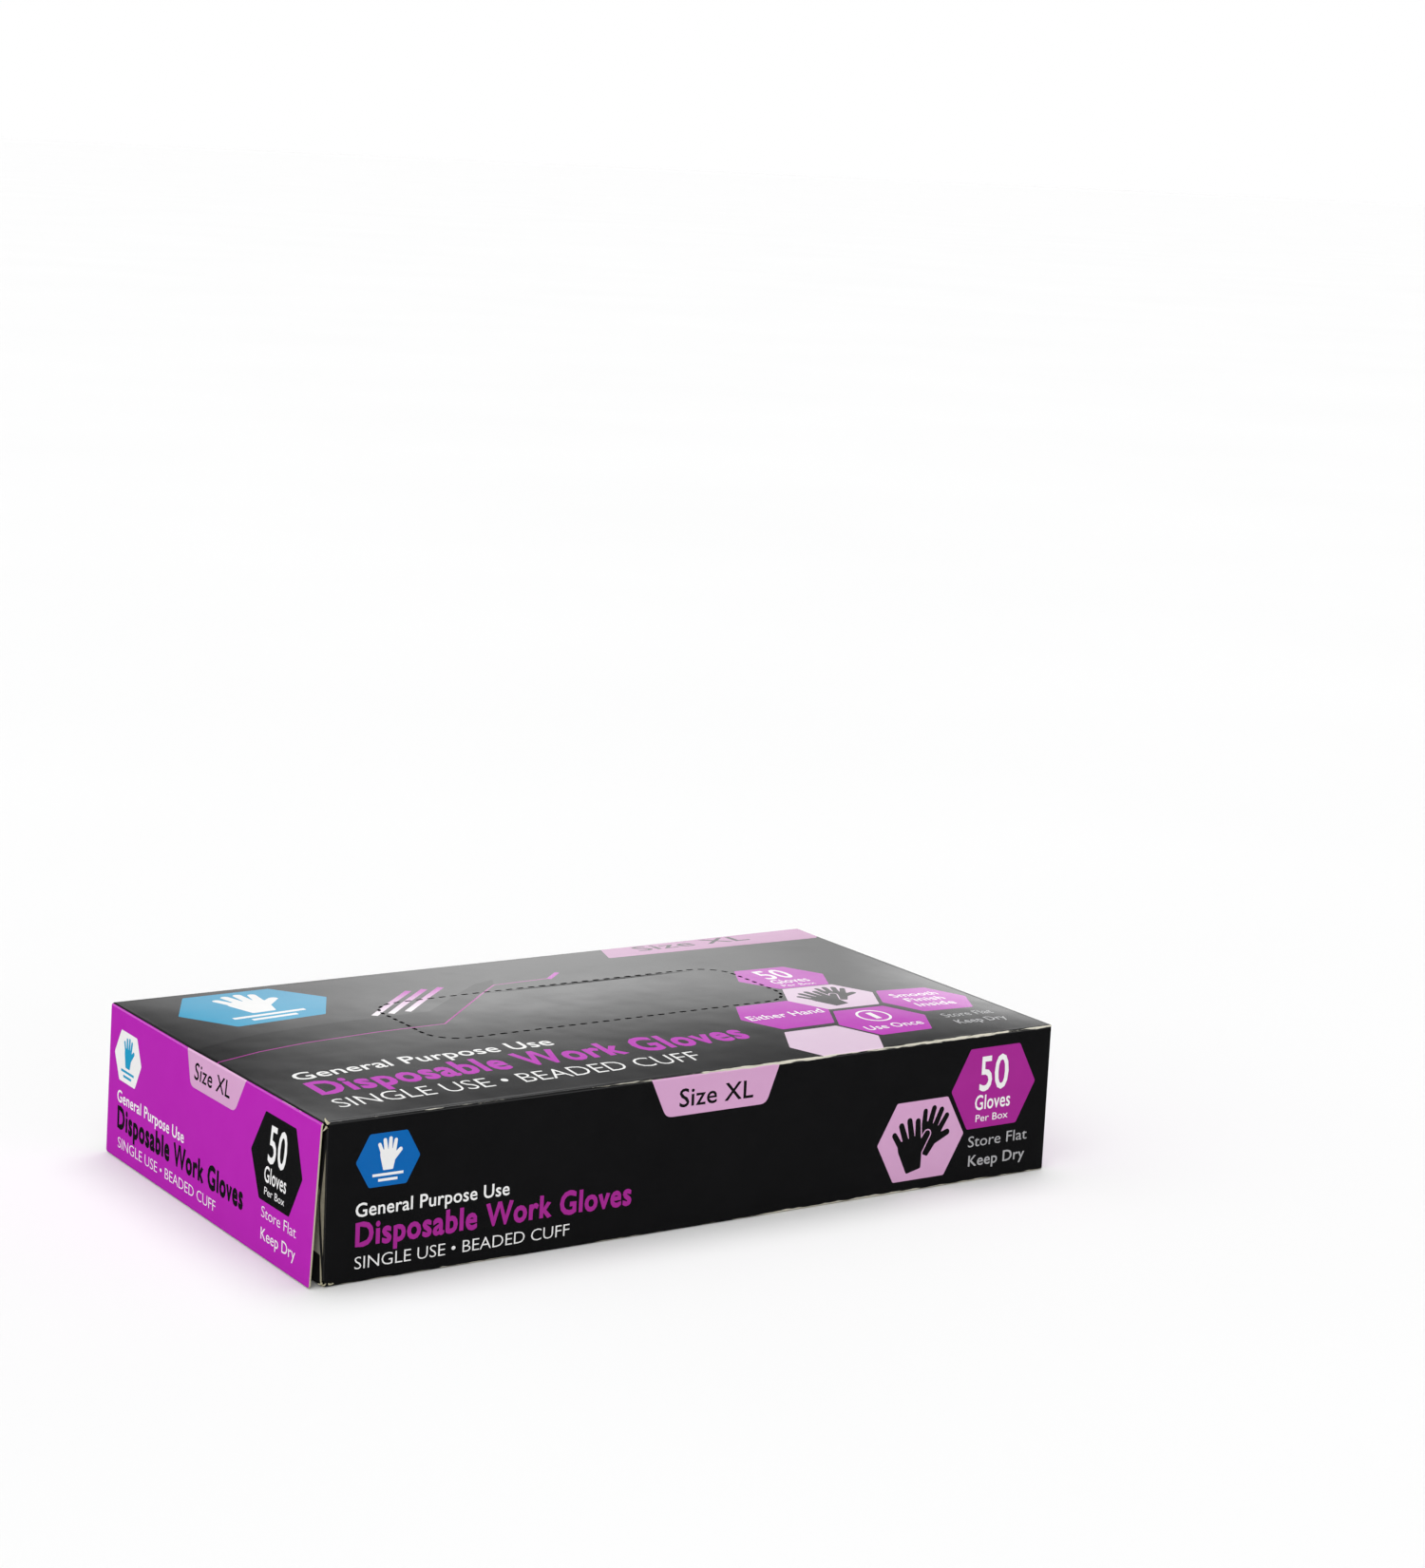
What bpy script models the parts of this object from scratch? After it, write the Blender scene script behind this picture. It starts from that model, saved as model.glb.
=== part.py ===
"""Top-dispensing carton of folded paperboard, packed with flat pairs of disposable gloves.

The carton is one printed blank in real life. It is modelled here as its panels and flaps,
each its own closed solid, because every crease is where one panel can turn on the next.

X runs along the carton, the front panel faces -Y, +Z is up. The origin is the middle of
the footprint, on the surface the carton stands on. Units are metres.
"""
import math

import bmesh
import bpy
from mathutils import Matrix, Vector

# Carton, outside
LENGTH = 0.240
DEPTH = 0.130
HEIGHT = 0.044
CROWN = 0.0025              # rise of the top panel's middle over its edges

# Paperboard and the room between plies
BOARD = 0.00045
GAP = 0.0003                # at a crease, and where one ply lies on the next
GLUE = 0.0003               # thickness of a pressed hot-melt bead
SIDE_TRIM = 0.0005          # an end flap is this much narrower than the carton, each side

# Dispensing window in the top panel
WINDOW_LENGTH = 0.120
WINDOW_WIDTH = 0.042
WINDOW_RADIUS = 0.010
WINDOW_SHIFT_X = 0.0015     # window's middle, to the right of the carton's middle
WINDOW_REAR_MARGIN = 0.0386  # from the rear crease to the window's rear edge
KERF = 0.0003               # width of the perforation round the window

# End closures
FLAP_CORNER = 0.003         # chamfer on the free corners of the large flaps
FLOOR_CLEARANCE = 0.0003    # under the outer flap's free edge
INNER_TURN_RATIO = 0.5      # inner flap's turn for each unit of the outer flap's
INNER_TIP_CLEARANCE = 0.003  # what the inner flap's tip leaves the outer one to pass
DUST_FLAP_LENGTH = 0.040
DUST_FLAP_TRIM = 0.0010     # dust flap's top and bottom edges stop short by this
DUST_FLAP_TAPER = 0.006

# Glue seam up the rear
SEAM_FLAP_WIDTH = 0.015
SEAM_GLUE_WIDTH = 0.007
END_GLUE_WIDTH = 0.006
END_GLUE_INSET = 0.018      # from the carton's corner to each bead's end

# Gloves
PAIRS = 25
HEADSPACE = 0.0070          # between the top pair and the top panel's edges
PACK_CLEARANCE = 0.0020     # round the stack
CUFF_SHARE = 0.88           # cuff's width over the palm's
FINGER_GAP = 0.0016         # between neighbouring fingers
FINGERTIPS = (0.955, 1.0, 0.965, 0.86)   # how far each finger reaches, of the glove
FINGER_ROOT = 0.615         # where the fingers start, of the glove's length
THUMB_BASE = 0.30
THUMB_TIP = 0.60

GRID_ALONG = 16
GRID_ACROSS = 10
ARC_STEPS = 6

# sRGB colour, roughness
FINISHES = {
    "black_printed_board": ("#17161A", 0.38),
    "magenta_printed_board": ("#A9279A", 0.38),
    "plain_board": ("#CFCAB4", 0.85),
    "hot_melt_glue": ("#D9C89A", 0.40),
    "black_nitrile": ("#121315", 0.55),
}

# Places worked out from the sizes above
PLY_STEP = BOARD + GAP
GLUE_STEP = BOARD + GAP + GLUE + GAP
WALL_LOW = PLY_STEP                     # walls stand on the bottom panel
WALL_HIGH = HEIGHT - PLY_STEP           # and stop under the top panel
INNER_FLAP_FACE = LENGTH / 2 - GLUE_STEP
DUST_FLAP_FACE = INNER_FLAP_FACE - PLY_STEP
STACK_END = DUST_FLAP_FACE - BOARD - PACK_CLEARANCE
WALL_END = LENGTH / 2 - PLY_STEP
SEAM_FLAP_FACE = DEPTH / 2 - GLUE_STEP
STACK_SIDE = SEAM_FLAP_FACE - BOARD - PACK_CLEARANCE
INNER_FLAP_TOP = HEIGHT / (1 + INNER_TURN_RATIO) - INNER_TIP_CLEARANCE
WINDOW_REAR = DEPTH / 2 - WINDOW_REAR_MARGIN
WINDOW_MIDDLE = Vector((WINDOW_SHIFT_X, WINDOW_REAR - WINDOW_WIDTH / 2))


def clear_scene():
    for thing in list(bpy.data.objects):
        bpy.data.objects.remove(thing, do_unlink=True)


def collection(name):
    group = bpy.data.collections.new(name)
    bpy.context.scene.collection.children.link(group)
    return group


def linear(hex_colour):
    """An sRGB hex colour as Blender's linear red, green, blue and alpha."""
    channels = [int(hex_colour[i:i + 2], 16) / 255 for i in (1, 3, 5)]
    flat = [c / 12.92 if c <= 0.04045 else ((c + 0.055) / 1.055) ** 2.4 for c in channels]
    return (*flat, 1.0)


def material(name):
    colour, roughness = FINISHES[name]
    made = bpy.data.materials.new(name)
    made.use_nodes = True
    shader = made.node_tree.nodes["Principled BSDF"]
    shader.inputs["Base Color"].default_value = linear(colour)
    shader.inputs["Roughness"].default_value = roughness
    shader.inputs["Metallic"].default_value = 0.0
    made.diffuse_color = linear(colour)
    return made


def add_object(name, data, finish, parent=None):
    """Link an object into the carton's collection; its place stays what it is now."""
    piece = bpy.data.objects.new(name, data)
    if not data.materials:
        data.materials.append(FINISH_OF[finish])
    CARTON.objects.link(piece)
    if parent:
        piece.parent = parent
        piece.matrix_parent_inverse = Matrix.Translation(parent.location).inverted()
    return piece


def hinge(name, place):
    """An empty on a joint's axis. What turns there is parented to it."""
    axis = bpy.data.objects.new(name, None)
    axis.location = place
    axis.empty_display_size = 0.01
    CARTON.objects.link(axis)
    return axis


def panel(name, low, high, finish, parent=None):
    """A flat ply between two corners, made from a cube."""
    low, high = Vector(low), Vector(high)
    solid = bmesh.new()
    bmesh.ops.create_cube(solid, size=1.0)
    bmesh.ops.scale(solid, vec=high - low, verts=solid.verts)
    bmesh.ops.translate(solid, vec=(low + high) / 2, verts=solid.verts)
    mesh = bpy.data.meshes.new(name)
    solid.to_mesh(mesh)
    solid.free()
    return add_object(name, mesh, finish, parent)


def arc(centre, radius, start, end, steps=ARC_STEPS):
    """Points along an arc, with the angles in degrees."""
    turns = [math.radians(start + (end - start) * i / steps) for i in range(steps + 1)]
    return [(centre[0] + radius * math.cos(a), centre[1] + radius * math.sin(a)) for a in turns]


def flat_outline(name, points, thickness):
    """A closed outline in the XY plane, as a filled curve extruded about z = 0."""
    curve = bpy.data.curves.new(name, "CURVE")
    curve.dimensions = "2D"
    curve.fill_mode = "BOTH"
    curve.extrude = thickness / 2
    curve.resolution_u = 1
    line = curve.splines.new("POLY")
    line.points.add(len(points) - 1)
    for point, (x, y) in zip(line.points, points):
        point.co = (x, y, 0.0, 1.0)
    line.use_cyclic_u = True
    return curve


def stand_at_end(side, outer_face):
    """Stand an XY outline up as an end ply: its x runs along Y and its y runs along Z."""
    middle = side * (outer_face - BOARD / 2)
    turn = Matrix(((0, 0, 1), (1, 0, 0), (0, 1, 0))).to_4x4()
    return Matrix.Translation((middle, 0, 0)) @ turn


def end_ply(name, side, outer_face, points, finish, parent=None):
    piece = add_object(name, flat_outline(name, points, BOARD), finish)
    place = stand_at_end(side, outer_face)
    if parent:
        piece.parent = parent
        place = Matrix.Translation(-parent.location) @ place
    piece.matrix_local = place
    return piece


def crown_height(x, y):
    """How far the top panel stands above its edges."""
    across = 1 - (2 * y / DEPTH) ** 2
    along = 1 - (2 * x / LENGTH) ** 4
    return CROWN * across * along


def crowned_sheet(name, finish, parent=None):
    """The whole top ply as a gently domed grid, thickened downwards."""
    sheet = bmesh.new()
    bmesh.ops.create_grid(sheet, x_segments=GRID_ALONG, y_segments=GRID_ACROSS, size=0.5)
    for corner in sheet.verts:
        x, y = corner.co.x * LENGTH, corner.co.y * DEPTH
        corner.co = (x, y, HEIGHT + crown_height(x, y))
    mesh = bpy.data.meshes.new(name)
    sheet.to_mesh(mesh)
    sheet.free()
    piece = add_object(name, mesh, finish, parent)
    thicken = piece.modifiers.new("board", "SOLIDIFY")
    thicken.thickness = BOARD
    thicken.offset = -1.0
    return piece


def window_cutter(name, inset):
    """A tall rounded block on the window's outline, taken in by inset."""
    half_length = WINDOW_LENGTH / 2 - inset
    half_width = WINDOW_WIDTH / 2 - inset
    radius = WINDOW_RADIUS - inset
    points = []
    for turn, (sx, sy) in enumerate(((1, 1), (-1, 1), (-1, -1), (1, -1))):
        centre = (WINDOW_MIDDLE.x + sx * (half_length - radius),
                  WINDOW_MIDDLE.y + sy * (half_width - radius))
        points += arc(centre, radius, 90 * turn, 90 * turn + 90)
    drawn = bpy.data.objects.new(name, flat_outline(name, points, HEIGHT))
    CUTTERS.objects.link(drawn)
    drawn.location = (0, 0, HEIGHT)
    bpy.context.view_layer.update()
    evaluated = drawn.evaluated_get(bpy.context.evaluated_depsgraph_get())
    mesh = bpy.data.meshes.new_from_object(evaluated)
    joined = bmesh.new()
    joined.from_mesh(mesh)
    bmesh.ops.remove_doubles(joined, verts=joined.verts, dist=1e-6)
    bmesh.ops.recalc_face_normals(joined, faces=joined.faces)
    joined.to_mesh(mesh)
    joined.free()
    cutter = bpy.data.objects.new(name, mesh)
    cutter.matrix_world = drawn.matrix_world
    bpy.data.objects.remove(drawn, do_unlink=True)
    CUTTERS.objects.link(cutter)
    cutter.hide_render = True
    cutter.display_type = "WIRE"
    return cutter


def cut(piece, cutter, operation):
    boolean = piece.modifiers.new("window", "BOOLEAN")
    boolean.operation = operation
    boolean.object = cutter


def make_tube():
    """The four panels that wrap round the gloves, and the seam that closes them."""
    half_length, half_depth = LENGTH / 2, DEPTH / 2
    panel("bottom_panel", (-INNER_FLAP_FACE, -half_depth, 0),
          (INNER_FLAP_FACE, half_depth, BOARD), "black_printed_board")
    panel("front_panel", (-WALL_END, -half_depth, WALL_LOW),
          (WALL_END, BOARD - half_depth, WALL_HIGH), "black_printed_board")
    panel("back_panel", (-WALL_END, half_depth - BOARD, WALL_LOW),
          (WALL_END, half_depth, WALL_HIGH), "black_printed_board")
    seam_end = DUST_FLAP_FACE - PLY_STEP
    panel("seam_flap", (-seam_end, SEAM_FLAP_FACE - BOARD, WALL_LOW),
          (seam_end, SEAM_FLAP_FACE, WALL_LOW + SEAM_FLAP_WIDTH), "plain_board")
    bead_low = WALL_LOW + (SEAM_FLAP_WIDTH - SEAM_GLUE_WIDTH) / 2
    panel("seam_glue", (END_GLUE_INSET - half_length, SEAM_FLAP_FACE + GAP, bead_low),
          (half_length - END_GLUE_INSET, SEAM_FLAP_FACE + GAP + GLUE, bead_low + SEAM_GLUE_WIDTH),
          "hot_melt_glue")


def make_top():
    """The crowned top ply with its window, and the panel that tears out of it."""
    top = crowned_sheet("top_panel", "black_printed_board")
    cut(top, window_cutter("window_opening", 0.0), "DIFFERENCE")
    crease = Vector((WINDOW_MIDDLE.x, WINDOW_REAR, HEIGHT + crown_height(0, WINDOW_REAR)))
    turning = hinge("tear_out_axis", crease)
    torn = crowned_sheet("tear_out_panel", "black_printed_board", turning)
    cut(torn, window_cutter("window_plug", KERF), "INTERSECT")


def chamfered(half_width, low, high, chamfer, at_top):
    """A flap's outline: square at its crease, chamfered at its free corners."""
    free, fixed = (high, low) if at_top else (low, high)
    inward = -chamfer if at_top else chamfer
    points = [(-half_width, fixed), (half_width, fixed), (half_width, free + inward),
              (half_width - chamfer, free), (chamfer - half_width, free), (-half_width, free + inward)]
    return points if at_top else points[::-1]


def make_end(end, side):
    """One glued end: outer flap, inner flap with its bead of glue, and two dust flaps."""
    half_length, half_depth = LENGTH / 2, DEPTH / 2
    flap_half = half_depth - SIDE_TRIM
    outer_axis = hinge(f"{end}_outer_axis", (side * half_length, 0, HEIGHT))
    outline = chamfered(flap_half, FLOOR_CLEARANCE, WALL_HIGH, SIDE_TRIM, at_top=False)
    end_ply(f"{end}_outer_flap", side, half_length, outline, "magenta_printed_board", outer_axis)

    inner_half = half_depth - BOARD - GAP - SIDE_TRIM
    inner_axis = hinge(f"{end}_inner_axis", (side * INNER_FLAP_FACE, 0, 0))
    outline = chamfered(inner_half, WALL_LOW, INNER_FLAP_TOP, FLAP_CORNER, at_top=True)
    end_ply(f"{end}_inner_flap", side, INNER_FLAP_FACE, outline, "plain_board", inner_axis)

    bead_x = sorted((side * (INNER_FLAP_FACE + GAP), side * (INNER_FLAP_FACE + GAP + GLUE)))
    bead_y = half_depth - END_GLUE_INSET
    bead_z = (WALL_LOW + INNER_FLAP_TOP - END_GLUE_WIDTH) / 2
    panel(f"{end}_end_glue", (bead_x[0], -bead_y, bead_z),
          (bead_x[1], bead_y, bead_z + END_GLUE_WIDTH), "hot_melt_glue", inner_axis)

    low, high = WALL_LOW + DUST_FLAP_TRIM, WALL_HIGH - DUST_FLAP_TRIM
    for wall, outward in (("front", -1), ("rear", 1)):
        start = outward * (half_depth - PLY_STEP)
        tip = start - outward * DUST_FLAP_LENGTH
        shoulder = start - outward * DUST_FLAP_TAPER
        outline = [(start, low), (start, high), (shoulder, high), (tip, high - DUST_FLAP_TAPER),
                   (tip, low + DUST_FLAP_TAPER), (shoulder, low)]
        end_ply(f"{end}_{wall}_dust_flap", side, DUST_FLAP_FACE, outline, "plain_board")


def glove_outline():
    """A flattened glove, cuff at -X: cuff, palm, four fingers, and a thumb laid alongside."""
    length = 2 * STACK_END
    palm = STACK_SIDE
    cuff = palm * CUFF_SHARE
    finger = (2 * palm - 3 * FINGER_GAP) / 4
    radius = finger / 2
    root = length * FINGER_ROOT - STACK_END
    points = [(-STACK_END, -cuff), (length * THUMB_BASE - STACK_END, -cuff),
              (length * THUMB_TIP - STACK_END, -palm)]
    for place, reach in enumerate(FINGERTIPS):
        middle = -palm + radius + place * (finger + FINGER_GAP)
        tip = length * reach - STACK_END - radius
        if place:
            points.append((root, middle - radius))
        points += arc((tip, middle), radius, -90, 90)
        if place < len(FINGERTIPS) - 1:
            points.append((root, middle + radius))
    return points + [(length * THUMB_BASE - STACK_END, cuff), (-STACK_END, cuff)]


def make_gloves():
    """Pairs laid flat, every second one turned end for end, filling up to the headspace."""
    pitch = (WALL_HIGH - HEADSPACE - WALL_LOW) / PAIRS
    for number in range(PAIRS):
        name = f"glove_pair_{number + 1:02d}"
        pair = add_object(name, flat_outline(name, glove_outline(), pitch - GAP), "black_nitrile")
        pair.location = (0, 0, WALL_LOW + (number + 0.5) * pitch)
        pair.rotation_euler = (0, 0, math.pi * (number % 2))


clear_scene()
CARTON = collection("glove_dispenser_carton")
CUTTERS = collection("cutters")
FINISH_OF = {name: material(name) for name in FINISHES}
make_tube()
make_top()
make_end("left", -1)
make_end("right", 1)
make_gloves()
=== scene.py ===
"""Looks of the glove dispenser carton: printed board, perforated window, glued ends, packed gloves.

The carton is one blank of folding boxboard, offset printed, scored, folded and glued. Each panel
is drawn flat in its own millimetres, with its printing as outlines, then rolled over its folds
and given the board's thickness. Panels that share a fold meet on its middle line.
"""
import math

import bpy
import numpy as np
from mathutils import Matrix, Vector, noise
from mathutils.geometry import delaunay_2d_cdt


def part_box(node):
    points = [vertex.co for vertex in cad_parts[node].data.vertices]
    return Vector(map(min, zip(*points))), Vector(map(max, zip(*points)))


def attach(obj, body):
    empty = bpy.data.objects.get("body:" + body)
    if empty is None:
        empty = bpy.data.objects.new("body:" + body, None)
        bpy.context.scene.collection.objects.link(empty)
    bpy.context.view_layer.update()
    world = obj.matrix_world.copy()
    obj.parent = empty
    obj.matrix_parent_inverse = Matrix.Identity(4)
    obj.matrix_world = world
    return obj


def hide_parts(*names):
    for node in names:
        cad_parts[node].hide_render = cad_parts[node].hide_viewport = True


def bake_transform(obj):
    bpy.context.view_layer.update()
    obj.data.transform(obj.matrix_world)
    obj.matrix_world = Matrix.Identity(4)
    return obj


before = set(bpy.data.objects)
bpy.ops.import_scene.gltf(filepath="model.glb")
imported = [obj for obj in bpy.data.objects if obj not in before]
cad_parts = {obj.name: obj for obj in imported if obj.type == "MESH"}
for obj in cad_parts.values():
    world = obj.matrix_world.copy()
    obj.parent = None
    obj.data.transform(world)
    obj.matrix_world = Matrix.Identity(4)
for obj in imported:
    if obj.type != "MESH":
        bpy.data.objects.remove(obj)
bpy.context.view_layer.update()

MM = 0.001


def box_mm(node):
    """A CAD node's lowest and highest corners in millimetres."""
    low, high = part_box(node)
    return [round(v / MM, 3) for v in low], [round(v / MM, 3) for v in high]


def put_in_scene(name, data):
    thing = bpy.data.objects.new(name, data)
    bpy.context.scene.collection.objects.link(thing)
    return thing


# Sizes of the carton, from the frame, in millimetres
FRONT_LOW, FRONT_HIGH = box_mm("front_panel")
TOP_LOW, TOP_HIGH = box_mm("top_panel")
TEAR_LOW, TEAR_HIGH = box_mm("tear_out_panel")
BOARD = FRONT_HIGH[1] - FRONT_LOW[1]
END = box_mm("right_outer_flap")[1][0]
FACE = box_mm("back_panel")[1][1]
HEIGHT = TOP_LOW[2] + BOARD
CROWN = TOP_HIGH[2] - HEIGHT
INNER_FACE = box_mm("right_inner_flap")[1][0]
INNER_TOP = box_mm("right_inner_flap")[1][2]
DUST_FACE = box_mm("right_front_dust_flap")[1][0]
SEAM_FACE = box_mm("seam_flap")[1][1]
SEAM_TOP = box_mm("seam_flap")[1][2]
MID = HEIGHT / 2
WALL_END = {-1: DUST_FACE + 0.6, 1: DUST_FACE + 1.6}   # where the walls turn into dust flaps

# How the board is folded and trimmed, and how it stands; -1 is the left end and 1 the right
FOLD = 0.8             # outer radius of a scored fold
SIDE_TRIM = {-1: 0.5, 1: 2.2}               # end flaps stop short of the front and back by this
WEAR_REACH = 1.6       # how far from a fold the ink is strained
WORN_FROM, WORN_THROUGH = 1.94, 2.06        # strain, patches and cracks that lift the ink
INK_BLEED = 8.0        # how far a panel's ink runs on to an unprinted flap
FOLD_STEPS = (0.2, 0.4, 0.6, FOLD, WEAR_REACH)
FLOOR_GAP = 0.3        # under the free edge of an end flap
NOTCH = 1.0            # cut out of the bottom's corners
FLAP_CORNER = 3.0      # chamfer on the free corners of an inner flap
DUST_FLAP_REACH = 40.0
DUST_FLAP_TRIM = 1.75
DUST_FLAP_TAPER = 6.0
FLAP_BOW = {-1: (0.8, 2.4), 1: (0.1, 0.1)}  # left and right outer flaps stand off: rear, front
INNER_TRIM = {-1: 0.0, 1: 5.0}              # taken off each side of an inner flap
GLUE_HEIGHT = 13.5     # middle of the glue between the flaps of an end
INNER_LEAN = 0.3       # an inner flap stands off this much, and curls out at its front corner
INNER_CURL = 3.5       # how far along the flap that curl reaches
CORNER_BULGE = 1.6     # the front left corner is pushed out this much at half height
TEAR_START = 0.35      # from the window's rear edge to the strip that bends
TEAR_BEND = 1.5        # width of that strip

# Perforation round the window
KERF = 0.3
SLIT_LENGTH = 2.3
SLIT_WIDTH = 1.0
SLIT_PITCH = 3.75
WINDOW_RADIUS = 10.0

# Camera at the angle the carton is shown from
CAMERA_PLACE = (-0.5050, -0.7903, 0.2922)
CAMERA_AZIMUTH = -34.538
CAMERA_ELEVATION = 10.804
CAMERA_ROLL = 2.959
CAMERA_LENS = 76.9


# ---------- nodes and materials

def node(tree, kind, inputs=None, out=0, **settings):
    """Add a node and give one of its outputs. Inputs maps a socket to a value or an output."""
    made = tree.nodes.new(kind)
    for setting, value in settings.items():
        setattr(made, setting, value)
    for socket, value in (inputs or {}).items():
        if isinstance(value, bpy.types.NodeSocket):
            tree.links.new(value, made.inputs[socket])
        else:
            made.inputs[socket].default_value = value
    return made if out is None else made.outputs[out]


def linear(hex_colour):
    """An sRGB hex colour as linear red, green, blue and alpha."""
    channels = [int(hex_colour[i:i + 2], 16) / 255 for i in (1, 3, 5)]
    flat = [c / 12.92 if c <= 0.04045 else ((c + 0.055) / 1.055) ** 2.4 for c in channels]
    return (*flat, 1.0)


def new_material(name, roughness, ior=1.5):
    """A material, its tree, its shader and the place on the piece that patterns follow."""
    made = bpy.data.materials.new(name)
    made.use_nodes = True
    tree = made.node_tree
    shader = tree.nodes["Principled BSDF"]
    shader.inputs["Roughness"].default_value = roughness
    shader.inputs["IOR"].default_value = ior
    return made, tree, shader, node(tree, "ShaderNodeTexCoord", out="Object")


def grain(tree, place, size_mm, detail=2.0, stretch=(1, 1, 1)):
    """Noise with features of this many millimetres, stretched along an axis where asked."""
    mapped = node(tree, "ShaderNodeMapping", {0: place, 3: stretch})
    return node(tree, "ShaderNodeTexNoise", {"Vector": mapped, "Scale": 1 / (size_mm * MM),
                                             "Detail": detail})


def mottled(tree, factor, first, second):
    """A colour that turns from the first to the second by a pattern."""
    ends = [linear(end) if isinstance(end, str) else end for end in (first, second)]
    return node(tree, "ShaderNodeMix", {0: factor, 6: ends[0], 7: ends[1]}, 2, data_type="RGBA")


def dress(tree, shader, colour, bumps, roughness=None):
    """Link a colour, a roughness and a stack of bumps, the broadest first, to the shader."""
    tree.links.new(colour, shader.inputs["Base Color"])
    if roughness:
        tree.links.new(roughness, shader.inputs["Roughness"])
    below = {}
    for strength, distance_mm, height in bumps:
        below = {"Normal": node(tree, "ShaderNodeBump", {
            "Strength": strength, "Distance": distance_mm * MM, "Height": height, **below})}
    tree.links.new(below["Normal"], shader.inputs["Normal"])


def printed_board(name, ink, deeper, fade=None, gloss=0.5):
    """Offset ink under a clear water-based varnish on coated boxboard.

    Satin, with the board's fibres just showing through as an even orange peel, and the white
    of the board cracking through where a fold has strained the ink.
    """
    made, tree, shader, place = new_material(name, 0.34)
    shader.inputs["Specular IOR Level"].default_value = gloss
    spot = node(tree, "ShaderNodeSeparateXYZ", {0: place}, None).outputs
    colour = mottled(tree, grain(tree, place, 7.0, 4.0), ink, deeper)
    if fade:
        start, end, faded = fade
        along = node(tree, "ShaderNodeMapRange", {0: spot["Y"], 1: start * MM, 2: end * MM})
        colour = mottled(tree, along, faded, colour)
    from_fold = node(tree, "ShaderNodeAttribute", out="Fac", attribute_name="from_fold")
    strain = node(tree, "ShaderNodeMapRange", {0: from_fold, 2: WEAR_REACH, 3: 1.0, 4: 0.0})
    handled = node(tree, "ShaderNodeMapRange", {0: spot["X"], 1: -0.11, 2: 0.11, 3: -0.14, 4: 0.3})
    lifted = grain(tree, place, 26.0, 1.0)
    for cause in (grain(tree, place, 0.4, 3.0, (0.1, 1, 1)), strain, handled):
        lifted = node(tree, "ShaderNodeMath", {0: lifted, 1: cause}, operation="ADD")
    worn = node(tree, "ShaderNodeMapRange", {0: lifted, 1: WORN_FROM, 2: WORN_THROUGH})
    rub = node(tree, "ShaderNodeMapRange", {0: grain(tree, place, 18.0, 5.0), 1: 0.3, 2: 0.75,
                                            3: 0.13, 4: 0.20})
    swell, peel = grain(tree, place, 11.0, 1.0), grain(tree, place, 0.45)
    dress(tree, shader, mottled(tree, worn, colour, "#D2CEBF"),
          ((0.05, 1.2, swell), (0.10, 0.06, peel)), rub)
    return made


def bare_board(name, colour, darker, fibre_mm, roughness):
    """Unprinted boxboard: matt, with pulp fibres and the odd darker fleck."""
    made, tree, shader, place = new_material(name, roughness)
    fibres = grain(tree, place, fibre_mm, 4.0, (0.35, 1, 1))
    flecks = node(tree, "ShaderNodeMapRange", {0: grain(tree, place, 9.0, 3.0), 1: 0.35, 2: 0.7,
                                               4: 0.35})
    dress(tree, shader, mottled(tree, flecks, mottled(tree, fibres, colour, darker), darker),
          ((0.25, 0.1, fibres),))
    return made


def bleed_board(name):
    """Coated white side of an unprinted flap, with the ink of its panel run a little past the fold."""
    made, tree, shader, place = new_material(name, 0.5)
    from_fold = node(tree, "ShaderNodeAttribute", out="Fac", attribute_name="from_fold")
    fibres = grain(tree, place, 0.6, 3.0)
    limit = node(tree, "ShaderNodeMath", {0: grain(tree, place, 3.0), 1: INK_BLEED}, operation="ADD")
    bled = node(tree, "ShaderNodeMath", {0: from_fold, 1: limit}, operation="LESS_THAN")
    dress(tree, shader, mottled(tree, bled, mottled(tree, fibres, "#DAD8CE", "#CBC8BB"), "#1B1A1C"),
          ((0.2, 0.05, fibres),))
    return made


def hot_melt():
    """Packaging hot-melt, extruded and pressed: amber, slightly waxy, see-through where thin."""
    made, tree, shader, place = new_material("hot melt glue pressed", 0.3, 1.48)
    cloud = grain(tree, place, 1.5, 3.0)
    shader.inputs["Subsurface Weight"].default_value = 0.3
    shader.inputs["Subsurface Scale"].default_value = 0.0006
    dress(tree, shader, mottled(tree, cloud, "#E0CC95", "#C4A868"), ((0.3, 0.2, cloud),))
    return made


def black_nitrile():
    """Dipped and chlorinated nitrile rubber: soft black sheen, fine pebble, draw lines."""
    made, tree, shader, place = new_material("black nitrile chlorinated", 0.48, 1.52)
    cloud = grain(tree, place, 14.0, 4.0)
    sheen = node(tree, "ShaderNodeMapRange", {0: cloud, 1: 0.3, 2: 0.7, 3: 0.42, 4: 0.56})
    pebble, creases = grain(tree, place, 0.7), grain(tree, place, 4.5, 3.0, (0.35, 1, 1))
    dress(tree, shader, mottled(tree, cloud, "#101216", "#1B1D22"),
          ((0.35, 0.8, creases), (0.2, 0.08, pebble)), sheen)
    return made


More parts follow.
